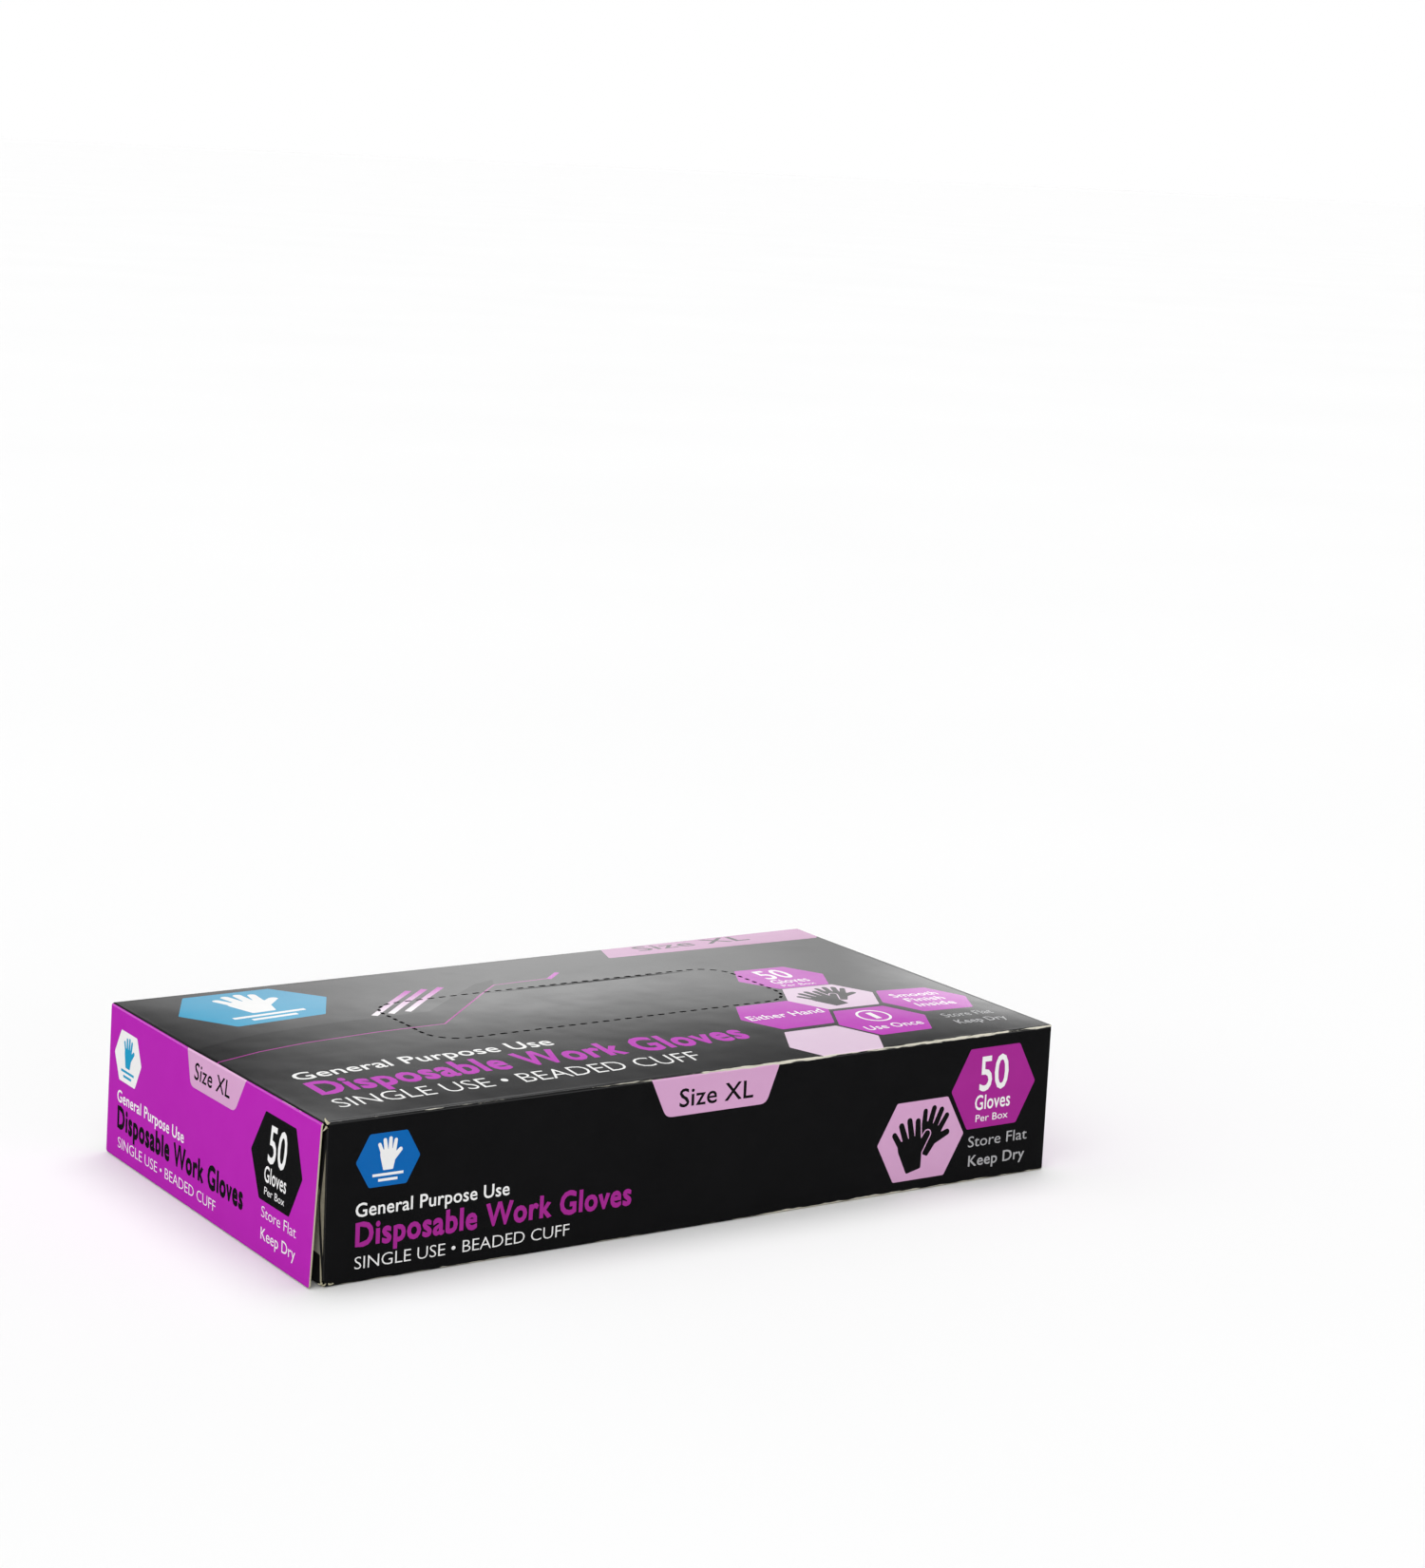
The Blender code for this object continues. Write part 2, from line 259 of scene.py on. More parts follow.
INKS = {name: printed_board(f"{name} ink on boxboard", *shades) for name, shades in {
    "black": ("#111112", "#161617"),
    "charcoal": ("#161617", "#1D1D1E"),
    "shade": ("#0B0B0C", "#101011", None, 0.3),
    "magenta": ("#A3268F", "#AC2A97"),
    "bright magenta": ("#B621B2", "#BC28B8"),
    "pink": ("#D5A2CA", "#DAA9D0"),
    "light pink": ("#DCC2D8", "#E1C9DD"),
    # painted shade: a darker copy of the pink ink, for the size tab at the rear of the top
    "deep pink": ("#C18DB5", "#C795BB"),
    "blue": ("#0563B1", "#0A69B7"),
    "light blue": ("#1E9AC4", "#26A1CA"),
    "white": ("#F0F0EF", "#F6F6F5"),
    "grey": ("#A9A9AB", "#B2B2B4"),
    "streak": ("#B81FAF", "#BE27B5", (17, 36, "#F2EAF0")),
}.items()}
CORE = bare_board("boxboard cut edge", "#CFCAB0", "#A9A384", 0.25, 0.8)
RAW = bare_board("boxboard grey back", "#B9B29C", "#9D967F", 0.8, 0.85)
INKS["unprinted"] = bleed_board("boxboard white side")
GLUE = hot_melt()
NITRILE = black_nitrile()


# ---------- flat shapes for printing

def unit(vectors):
    """Vectors of length 1 with these directions."""
    return vectors / np.maximum(np.linalg.norm(vectors, axis=-1, keepdims=True), 1e-9)


def turned(places, angle):
    """Places turned round the origin, by an angle in radians."""
    return places @ np.array([[math.cos(angle), math.sin(angle)],
                              [-math.sin(angle), math.cos(angle)]])


def arc_line(centre, radius, first, last, steps):
    """Points along an arc between two directions in degrees."""
    turns = np.radians(np.linspace(first, last, steps + 1))
    return centre + radius * np.stack([np.cos(turns), np.sin(turns)], 1)


def rounded(corners, radius, steps=4):
    """A closed outline with each corner turned off."""
    corners = np.array(corners, float)
    t = np.linspace(0, 1, steps + 1)[:, None]
    points = []
    for before, corner, after in zip(np.roll(corners, 1, 0), corners, np.roll(corners, -1, 0)):
        start, end = (corner + unit(other - corner) * radius for other in (before, after))
        points.extend((1 - t) ** 2 * start + 2 * t * (1 - t) * corner + t * t * end)
    return np.array(points)


FLATS = 0.585          # a cell's flat side over its width


def cell(middle, width, height, radius=0.5):
    """A six-sided cell, points to the left and right."""
    half, flat, rise = width / 2, width * FLATS / 2, height / 2
    corners = [(-half, 0), (-flat, -rise), (flat, -rise), (half, 0), (flat, rise), (-flat, rise)]
    return [rounded(corners, radius) + np.array(middle)]


def tab(top, edge, bottom, low, radius=2.0):
    """A size tab hanging from an edge: its width there, its width below and where it ends."""
    return [rounded([(bottom[0], low), (bottom[1], low), (top[1], edge), (top[0], edge)], radius)]


def ribbon(points, width):
    """A line of even width, with its corners kept full."""
    path = np.array(points, float)
    steps = unit(np.diff(path, axis=0))
    before, after = np.vstack([steps[:1], steps]), np.vstack([steps, steps[-1:]])
    mean = unit(before + after)
    reach = width / 2 / np.maximum((mean * before).sum(1), 0.5)
    side = np.stack([-mean[:, 1], mean[:, 0]], 1) * reach[:, None]
    return [np.vstack([path - side, (path + side)[::-1]])]


def ring(middle, radius, width, sides=32):
    circle = arc_line(0, 1, 0, 360, sides)[:-1]
    return [circle * (radius + width / 2) + middle, circle[::-1] * (radius - width / 2) + middle]


def capsule(start, end, start_radius, end_radius, sides=8):
    """A finger: two round ends and straight sides."""
    heading = math.degrees(math.atan2(end[1] - start[1], end[0] - start[0]))
    return np.vstack([arc_line(end, end_radius, heading - 90, heading + 90, sides),
                      arc_line(start, start_radius, heading + 90, heading + 270, sides)])


def font_loops(words, weight):
    """Outlines of a line of lettering at size 1, as closed loops made heavier by weight."""
    curve = bpy.data.curves.new("lettering", "FONT")
    curve.body = words
    curve.fill_mode = "NONE"
    curve.resolution_u = 3
    curve.space_character = 1 + 2.4 * weight
    drawn = put_in_scene("lettering", curve)
    bpy.context.view_layer.update()
    mesh = bpy.data.meshes.new_from_object(drawn.evaluated_get(bpy.context.evaluated_depsgraph_get()))
    places = np.array([v.co[:2] for v in mesh.vertices])
    following = {edge.vertices[0]: edge.vertices[1] for edge in mesh.edges}
    bpy.data.objects.remove(drawn, do_unlink=True)
    bpy.data.curves.remove(curve)
    bpy.data.meshes.remove(mesh)
    loops = []
    while following:
        here, loop = next(iter(following)), []
        while here in following:
            loop.append(here)
            here = following.pop(here)
        points = places[loop]
        along = unit(np.roll(points, -1, axis=0) - np.roll(points, 1, axis=0))
        loops.append(points + np.stack([along[:, 1], -along[:, 0]], 1) * weight)
    return loops


CAPITAL = max(loop[:, 1].max() for loop in font_loops("H", 0.0))

# How much heavier than the plain face a line of lettering is drawn, at size 1
PLAIN = 0.0
BOLD = 0.013
HEAVY = 0.034
HEAVIEST = 0.045
LIGHT = -0.011


def lettering(words, left, right, baseline, capital, weight=BOLD):
    """A line of lettering fitted between two edges, with capitals of this height."""
    loops = font_loops(words, weight)
    low = min(loop[:, 0].min() for loop in loops)
    high = max(loop[:, 0].max() for loop in loops)
    scale = np.array([(right - left) / (high - low), capital / CAPITAL])
    return [(loop - (low, 0)) * scale + (left, baseline) for loop in loops]


def centred(words, middle, width, baseline, capital, weight=BOLD):
    return lettering(words, middle - width / 2, middle + width / 2, baseline, capital, weight)


HAND = (
    ((-5.0, 1.0), (-6.9, 6.0), 1.4, 1.25),        # fingers, little one first
    ((-1.8, 2.0), (-2.8, 8.8), 1.5, 1.35),
    ((1.5, 2.0), (1.6, 9.5), 1.5, 1.35),
    ((4.6, 1.5), (5.7, 8.0), 1.5, 1.3),
    ((3.9, -4.5), (9.4, 1.0), 2.0, 1.5),          # thumb
)
PALM = ((3.8, -12.5), (6.2, -2.0), (6.0, 2.2), (-6.2, 2.2), (-6.3, -2.0), (-3.8, -12.5))


def hand(ink, middle, size, tilt, grow=0.0):
    """An open glove, as layers of one ink."""
    palm = rounded([(x + math.copysign(grow, x), y) for x, y in PALM], 0.7)
    loops = [palm, *(capsule(start, end, low + grow, high + grow) for start, end, low, high in HAND)]
    return [(ink, [turned(loop, math.radians(tilt)) * size + middle]) for loop in loops]


def pair_of_hands(dark, light, middle, size=0.94):
    """Two crossed gloves with a light outline where the near one passes over."""
    x, y = middle
    near, far = (x - 4.2 * size, y - 0.7 * size), (x + 3.9 * size, y + 3.2 * size)
    return (hand(dark, far, 0.68 * size, -24) + hand(light, near, 0.74 * size, 13, 0.55)
            + hand(dark, near, 0.74 * size, 13))


def count_cell(cell_ink, middle, width, height, share=1.0):
    """The cell with the number of gloves."""
    x, y = middle
    return [
        (cell_ink, cell(middle, width, height)),
        ("white", centred("50", x, 10.6 * share, y - 0.8 * share, 10.0 * share, 0.012)),
        ("white", centred("Gloves", x, 13.1 * share, y - 6.5 * share, 4.3 * share)),
        ("white", centred("Per Box", x, 12.0 * share, y - 10.1 * share, 2.1 * share, PLAIN)),
    ]


def emblem(ground, mark, middle, width, height):
    """A plain cell with an open glove over two bars, where a maker's own sign would go."""
    x, y = middle
    size = height / 38
    bars = [(mark, ribbon([(x - half, y - drop), (x + half, y - drop)], 0.05 * height))
            for half, drop in ((0.24 * width, 0.28 * height), (0.15 * width, 0.38 * height))]
    return [(ground, cell(middle, width, height)),
            *hand(mark, (x, y + 0.13 * height), size, 0), *bars]


def title(inks, places, middle_weight=HEAVY):
    """The three lines of the title, each with its left, right, baseline and capital height."""
    words = ("General Purpose Use", "Disposable Work Gloves", "SINGLE USE • BEADED CUFF")
    return [(ink, lettering(line, *place, weight)) for ink, line, place, weight
            in zip(inks, words, places, (BOLD, middle_weight, LIGHT))]


def care(ink, first, second):
    """Two lines on how to keep the carton, each a middle, width, baseline, height and weight."""
    return [(ink, centred("Store Flat", *first)), (ink, centred("Keep Dry", *second))]


def front_art():
    return [
        *emblem("blue", "white", (-100.8, 10.1), 18.75, 14.3),
        *title(("white", "magenta", "white"), (
            (-109.8, -64.2, -4.4, 3.6), (-109.7, -25.6, -12.3, 6.2), (-109.7, -45.0, -18.4, 3.3))),
        ("pink", tab((-21.6, 22.5), MID + 2, (-15.6, 17.5), 10.7)),
        ("black", centred("Size XL", 0.8, 24.4, 13.1, 5.0)),
        ("pink", cell((72.8, -6.9), 31.2, 23.5)),
        *pair_of_hands("black", "pink", (72.8, -6.9)),
        *count_cell("magenta", (98.6, 5.9), 31.1, 24.0),
        *care("grey", (101.4, 22.0, -11.6, 3.2, PLAIN), (101.4, 21.0, -17.4, 3.2, BOLD)),
    ]


def end_art():
    return [
        *emblem("white", "light blue", (-51.4, 8.8), 18.2, 14.6),
        *title(("white", "black", "white"), (
            (-57.6, -12.9, -4.9, 3.4), (-57.2, 25.2, -12.5, 6.2), (-56.5, 8.3, -18.3, 3.1)), HEAVIEST),
        ("pink", tab((-15.0, 22.5), MID + 2, (-10.3, 17.0), 12.1)),
        ("black", centred("Size XL", 2.3, 21.8, 14.6, 4.5)),
        *count_cell("black", (43.2, 5.2), 30.0, 23.5, 0.97),
        *care("white", (46.3, 20.0, -11.0, 3.0, LIGHT), (46.3, 20.0, -17.0, 3.2, PLAIN)),
    ]


def top_art():
    size, tall = 31.2, 24.0
    streaks = [("streak", ribbon([(x - 61.7, 15.6), (x - 38.7, 37.7)], 1.9)) for x in (0, 5.3, 10.7)]
    swoop = [(-121, 10.2), (-110, 12.4), (-98.7, 13.9), (-80, 14.2), (-45.5, 13.0), (-17, 37.0),
             (-9, 40.2)]
    line = [(-121, -3.8), (-106, -1.3), (-91.5, -0.3), (-70, -0.1), (-48.2, -0.6), (-12.5, 33.4)]
    cells = [(ink, cell(middle, size, tall)) for ink, middle in (
        ("light pink", (47.2, -55.4)), ("bright magenta", (48.5, -29.0)),
        ("light pink", (73.4, -17.3)), ("bright magenta", (73.2, -43.3)),
        ("bright magenta", (100.2, -28.2)))]
    captions = [("white", centred(words, x, width, baseline, 3.6)) for words, x, width, baseline in (
        ("Use Once", 73.2, 20.0, -50.6), ("Smooth", 100.2, 17.0, -24.6),
        ("Finish", 100.2, 14.0, -30.0), ("Inside", 100.2, 14.0, -35.4))]
    return [
        ("shade", [np.array(line + swoop[::-1])]),
        ("magenta", ribbon([*line, (7.2, 34.2)], 0.55)),
        ("bright magenta", ribbon([(6.6, 33.6), (13.4, 40.2)], 1.5)),
        *streaks,
        *emblem("light blue", "white", (-86.5, 42.0), 46.6, 36.4),
        *title(("white", "bright magenta", "white"), (
            (-109.2, -30.0, -30.0, 6.0), (-109.4, 26.5, -43.8, 10.8), (-109.7, 2.9, -55.4, 7.0))),
        # the rear size tab in the darker copy of the pink ink: painted shade
        ("deep pink", tab((45.5, 130), FACE + 3, (39.0, 118), 51.5, 1.0)),
        ("black", lettering("Size XL", 53.7, 95.6, 56.5, 6.5)),
        *cells,
        ("white", centred("Either Hand", 48.5, 26.0, -31.0, 4.0)),
        *pair_of_hands("black", "light pink", (73.4, -17.0)),
        ("white", ring((73.2, -39.0), 5.0, 0.8)),
        ("white", centred("1", 73.2, 2.0, -41.9, 5.8)),
        *captions,
        *count_cell("bright magenta", (72.8, 7.2), size, tall),
        *care("grey", (102.5, 18.0, -47.6, 3.6, PLAIN), (102.5, 18.0, -54.2, 3.6, BOLD)),
    ]


def bottom_art():
    return [
        *emblem("blue", "white", (-92.0, 0.0), 30.0, 23.0),
        *title(("white", "magenta", "white"), (
            (-70.0, 10.0, 8.0, 6.0), (-70.0, 66.0, -6.0, 9.0), (-70.0, 38.0, -17.0, 6.0))),
    ]


# ---------- panels of the blank

def waver(points):
    """The slight unevenness of a carton that has been handled, shared by panels that meet."""
    x, y, z = points.T
    off_floor = np.clip(z / 8, 0, 1)
    near = np.exp(-((x + WALL_END[-1]) / 5) ** 2 - ((y + FACE) / 14) ** 2)
    near = near * (x > -WALL_END[-1] - 0.1)
    bulge = CORNER_BULGE * near * np.sin(np.clip(z / HEIGHT, 0, 1) * math.pi) ** 2
    return np.stack([
        0.10 * np.sin(y / 17 + 0.4) * np.sin(z / 13 + 1.1) - bulge,
        0.13 * np.sin(x / 29 + 0.8) * np.cos(z / 19 + 0.3),
        0.13 * np.sin(x / 34 + 2.0) * np.sin(y / 21 + 0.6) * off_floor,
    ], 1)


def crown_rise(a, b):
    """The top stands higher in its middle, pushed up by the gloves."""
    return CROWN * (1 - (b / FACE) ** 2) * (1 - (a / END) ** 4)


class Panel:
    """One flat of the blank: where its middle is, and its right and up as seen from outside."""

    def __init__(self, middle, right, up, edges, folds, relief=None, worn=(0, 0, 1, 1)):
        self.middle = np.array(middle, float)
        self.right = np.array(right, float)
        self.up = np.array(up, float)
        self.out = np.cross(self.right, self.up)
        self.edges = edges          # left, right, bottom, top
        self.folds = folds          # which of those are folded
        self.relief = relief
        self.worn = worn            # which folds are measured from, for wear and for ink bleed

    def roll(self, values, low, high, folds):
        """Carry points along one direction over the folds at its ends."""
        place, drop = values.copy(), np.zeros(len(values))
        for end, side, folded in ((low, -1, folds[0]), (high, 1, folds[1])):
            if not folded:
                continue
            past = np.clip(side * (values - end) + FOLD, 0, FOLD)
            turn = past / FOLD * math.pi / 4
            place = np.where(past > 0, end - side * FOLD * (1 - np.sin(turn)), place)
            drop += FOLD * (1 - np.cos(turn))
        return place, drop

    def surface(self, flat):
        """Outer surface of the folded panel, in millimetres."""
        left, right, bottom, top = self.edges
        a, drop_a = self.roll(flat[:, 0], left, right, self.folds[:2])
        b, drop_b = self.roll(flat[:, 1], bottom, top, self.folds[2:])
        out = -(drop_a + drop_b)
        if self.relief:
            out = out + self.relief(flat[:, 0], flat[:, 1])
        points = (self.middle + a[:, None] * self.right + b[:, None] * self.up
                  + out[:, None] * self.out)
        return points + waver(points)

    def normals(self, flat, step=0.02):
        rise = [self.surface(flat + np.array(d)) - self.surface(flat - np.array(d))
                for d in ((step, 0), (0, step))]
        return unit(np.cross(*rise))

    def from_fold(self, flat):
        """How far each point lies from the middle line of the nearest fold."""
        left, right, bottom, top = self.edges
        gaps = (flat[:, 0] - left, right - flat[:, 0], flat[:, 1] - bottom, top - flat[:, 1])
        kept = [gap for gap, fold, worn in zip(gaps, self.folds, self.worn) if fold and worn]
        return np.min(kept, axis=0)


def winding(points, loops):
    """How many times the loops run round each point."""
    turns = np.zeros(len(points), int)
    for loop in loops:
        loop = np.array(loop, float)
        near = np.flatnonzero(((points > loop.min(0)) & (points < loop.max(0))).all(1))
        x, y = points[near].T
        (ax, ay), (bx, by) = loop.T[:, :, None], np.roll(loop, -1, axis=0).T[:, :, None]
        beside = (bx - ax) * (y - ay) - (by - ay) * (x - ax)
        rising = (ay <= y) & (by > y) & (beside > 0)
        falling = (ay > y) & (by <= y) & (beside < 0)
        turns[near] += rising.sum(0) - falling.sum(0)
    return turns


def triangulate(loops, fill, least):
    """Triangles along these loops and through these points, with each triangle's middle."""
    points, edges = [], []
    for loop in loops:
        first, count = len(points), len(loop)
        points.extend(Vector((float(x), float(y))) for x, y in loop)
        edges.extend((first + k, first + (k + 1) % count) for k in range(count))
    points.extend(Vector((float(x), float(y))) for x, y in fill)
    found, _, triangles, _, _, _ = delaunay_2d_cdt(points, edges, [], 0, least, False)
    flat, triangles = np.array([tuple(p) for p in found]), np.array(triangles)
    return flat, triangles, flat[triangles].mean(axis=1)


def cut_blank(outline, panel, layers=(), cuts=(), spacing=6.0):
    """Divide a panel into triangles along its outline, its printing, its cuts and its folds."""
    low, high = np.min(outline, axis=0), np.max(outline, axis=0)
    lines = [outline, *cuts, *(loop for _, shape in layers for loop in shape)]
    for end, side, folded, axis in zip(panel.edges, (1, -1, 1, -1), panel.folds, (0, 0, 1, 1)):
        for step in FOLD_STEPS if folded else ():
            ends = [low - 1, high + 1]
            for corner in ends:
                corner[axis] = end + side * step
            lines.append(ends)
    fill = [(x, y) for x in np.arange(low[0] + spacing / 2, high[0], spacing)
            for y in np.arange(low[1] + spacing / 2, high[1], spacing)]
    flat, triangles, middles = triangulate(lines, fill, 1e-4)
    on_board = winding(middles, [outline]) != 0
    return flat, triangles[on_board], middles[on_board]


def rim_of(triangles):
    """Edges that only one triangle has, in that triangle's order."""
    sides = {(a, b) for t in triangles.tolist() for a, b in zip(t, t[1:] + t[:1])}
    return np.array([(a, b) for a, b in sides if (b, a) not in sides])


def new_mesh(name, points, faces, finishes, smooth=True):
    """A mesh of these faces through points in millimetres, with its finishes."""
    mesh = bpy.data.meshes.new(name)
    mesh.from_pydata((np.array(points) * MM).tolist(), [], faces)
    mesh.polygons.foreach_set("use_smooth", [smooth] * len(faces))
    for finish in finishes:
        mesh.materials.append(finish)
    return mesh


def board_mesh(name, panel, blank, kept, layers, ground, edge_finish=CORE):
    """Fold a cut blank, give it the board's thickness and set its finishes."""
    flat, triangles, middles = blank
    corners, middles = triangles[kept], middles[kept]
    p, q, r = (flat[corners[:, k]] for k in range(3))
    area = (q - p)[:, 0] * (r - p)[:, 1] - (q - p)[:, 1] * (r - p)[:, 0]
    corners[area < 0] = corners[area < 0][:, ::-1]
    used, corners = np.unique(corners, return_inverse=True)
    flat, corners = flat[used], corners.reshape(-1, 3)
    count = len(flat)
    outer, normals = panel.surface(flat), panel.normals(flat)
    both = np.vstack([outer, outer - normals * BOARD])
    plies = np.vstack([corners, corners[:, ::-1] + count]).tolist()
    rim = [(b, a, a + count, b + count) for a, b in rim_of(corners).tolist()]

    names = sorted({ground, *(ink for ink, _ in layers)})
    inks = np.full(len(corners), names.index(ground))
    for ink, shape in layers:
        inks[winding(middles, shape) != 0] = names.index(ink)
    finishes = (*(INKS[ink] for ink in names), RAW, edge_finish)
    mesh = new_mesh(name, both, plies + rim, finishes)
    slots = [*inks.tolist(), *[len(names)] * len(corners), *[len(names) + 1] * len(rim)]
    mesh.polygons.foreach_set("material_index", slots)
    reach = mesh.attributes.new("from_fold", "FLOAT", "POINT")
    reach.data.foreach_set("value", np.tile(panel.from_fold(flat), 2).astype(np.float32))

    turned = np.vstack([normals, -normals])
    loop_normals = [turned[v] for face in plies for v in face]
    for face in rim:
        a, b, c, _ = (both[v] for v in face)
        loop_normals += [unit(np.cross(b - a, c - b))] * 4
    mesh.validate()
    mesh.normals_split_custom_set(loop_normals)
    return mesh


def add_piece(name, mesh, body=None, stands_for=()):
    piece = put_in_scene(name, mesh)
    if stands_for:
        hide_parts(*stands_for)
    if body:
        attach(piece, body)
    return piece


def whole_panel(name, panel, outline, layers=(), ground="black", spacing=6.0, body=None):
    """A panel with no cut-outs, in place of the CAD node of the same name."""
    blank = cut_blank(outline, panel, layers, (), spacing)
    everywhere = np.ones(len(blank[1]), bool)
    mesh = board_mesh(name, panel, blank, everywhere, layers, ground)
    return add_piece(f"{name}_board", mesh, body, (name,))


def rectangle(left, right, bottom, top):
    return [(left, bottom), (right, bottom), (right, top), (left, top)]


# ---------- the tube

def make_walls():
    """Front and back, folded to the top, and at their ends to the dust flaps."""
    def belly(a, b):
        return 0.35 * (1 - (a / END) ** 2) * (1 - (b / MID) ** 2)

    edges = (-WALL_END[-1], WALL_END[1], -MID, MID)
    front = Panel((0, -FACE, MID), (1, 0, 0), (0, 0, 1), edges, (1, 1, 1, 1), belly)
    whole_panel("front_panel", front, rectangle(*edges), front_art(), body="carton")
    edges = (-WALL_END[1], WALL_END[-1], -MID, MID)
    back = Panel((0, FACE, MID), (-1, 0, 0), (0, 0, 1), edges, (1, 1, 0, 1), belly)
    outline = rectangle(*edges[:2], 0.15 - MID, MID)
    whole_panel("back_panel", back, outline, front_art(), body="carton")


def make_bottom():
    """The bottom turns up into the glue flap behind the back panel's free edge."""
    edges = (-INNER_FACE, INNER_FACE, -SEAM_FACE, FACE)
    bottom = Panel((0, 0, 0), (1, 0, 0), (0, -1, 0), edges, (1, 1, 1, 1))
    low, high = NOTCH - SEAM_FACE, FACE - NOTCH
    half = [(DUST_FACE, -SEAM_FACE), (DUST_FACE, low), (INNER_FACE, low), (INNER_FACE, high),
            (DUST_FACE, high), (DUST_FACE, FACE)]
    outline = [(-DUST_FACE, -SEAM_FACE), *half, *[(-x, y) for x, y in half[:0:-1]]]
    whole_panel("bottom_panel", bottom, outline, bottom_art(), body="carton", spacing=12.0)
    edge = DUST_FACE - NOTCH
    flap = Panel((0, SEAM_FACE, 0), (-1, 0, 0), (0, 0, 1), (-edge, edge, 0, SEAM_TOP), (0, 0, 1, 0))
    whole_panel("seam_flap", flap, rounded(rectangle(-edge, edge, 0, SEAM_TOP), 0.01, 1),
                ground="unprinted", spacing=10.0, body="carton")


# ---------- the top and its window

def geometry_tree(name, sizes):
    """An empty geometry tree with these named sizes as its inputs, and its group input."""
    tree = bpy.data.node_groups.new(name, "GeometryNodeTree")
    tree.interface.new_socket("Geometry", in_out="OUTPUT", socket_type="NodeSocketGeometry")
    for label in sizes:
        tree.interface.new_socket(label, in_out="INPUT", socket_type="NodeSocketFloat")
    return tree, node(tree, "NodeGroupInput", out=None).outputs


def grow(name, tree, sizes):
    """The plain mesh a geometry tree makes with these sizes."""
    holder = put_in_scene(name, bpy.data.meshes.new(name))
    modifier = holder.modifiers.new(name, "NODES")
    modifier.node_group = tree
    for item in tree.interface.items_tree:
        if item.in_out == "INPUT":
            modifier[item.identifier] = float(sizes[item.name])
    bpy.context.view_layer.update()
    evaluated = holder.evaluated_get(bpy.context.evaluated_depsgraph_get())
    mesh = bpy.data.meshes.new_from_object(evaluated)
    bpy.data.objects.remove(holder, do_unlink=True)
    return mesh


def set_out(tree, material, inputs):
    """Set a piece out on points, as plain smooth mesh of one material, and end the tree."""
    copies = node(tree, "GeometryNodeInstanceOnPoints", inputs)
    plain = node(tree, "GeometryNodeRealizeInstances", {0: copies})
    smooth = node(tree, "GeometryNodeSetShadeSmooth", {0: plain})
    made = node(tree, "GeometryNodeSetMaterial", {"Geometry": smooth, "Material": material})
    node(tree, "NodeGroupOutput", {0: made}, None)
    return tree


def perforation_tree():
    """Round-ended slits set along a rounded rectangle, each turned to follow it."""
    sizes = ("Length", "Width", "Radius", "Pitch", "Slit Length", "Slit Width")
    tree, size = geometry_tree("window perforation", sizes)
    line = node(tree, "GeometryNodeCurvePrimitiveQuadrilateral",
                {"Width": size["Length"], "Height": size["Width"]})
    turned = node(tree, "GeometryNodeFilletCurve", {"Curve": line, "Radius": size["Radius"],
                                                    "Count": 8}, mode="POLY")
    stations = node(tree, "GeometryNodeResampleCurve", {"Curve": turned, "Length": size["Pitch"]},
                    mode="LENGTH")
    heading = node(tree, "FunctionNodeAlignRotationToVector",
                   {"Vector": node(tree, "GeometryNodeInputTangent")}, axis="X")
    bar = node(tree, "GeometryNodeCurvePrimitiveQuadrilateral",
               {"Width": size["Slit Length"], "Height": size["Slit Width"]})
    half = node(tree, "ShaderNodeMath", {0: size["Slit Width"], 1: 0.49}, operation="MULTIPLY")
    bar = node(tree, "GeometryNodeFilletCurve", {"Curve": bar, "Radius": half, "Count": 3},
               mode="POLY")
    bar = node(tree, "GeometryNodeFillCurve", {"Curve": bar}, mode="NGONS")
    return set_out(tree, CORE, {"Points": stations, "Instance": bar, "Rotation": heading})


def perforation(middle, length, width):
    """Outlines of the slits round the window."""
    slits = grow("perforation", perforation_tree(), {
        "Length": length, "Width": width, "Radius": WINDOW_RADIUS, "Pitch": SLIT_PITCH,
        "Slit Length": SLIT_LENGTH, "Slit Width": SLIT_WIDTH})
    places = np.array([v.co[:2] for v in slits.vertices]) + middle
    return [places[list(face.vertices)] for face in slits.polygons]


def rounded_frame(corners, radius, steps=8):
    """A rectangle with its corners turned to true arcs."""
    centres = corners + np.sign(corners.mean(axis=0) - corners) * radius
    return np.vstack([arc_line(centre, radius, first, first + 90, steps)
                      for centre, first in zip(centres, (180, 270, 0, 90))])


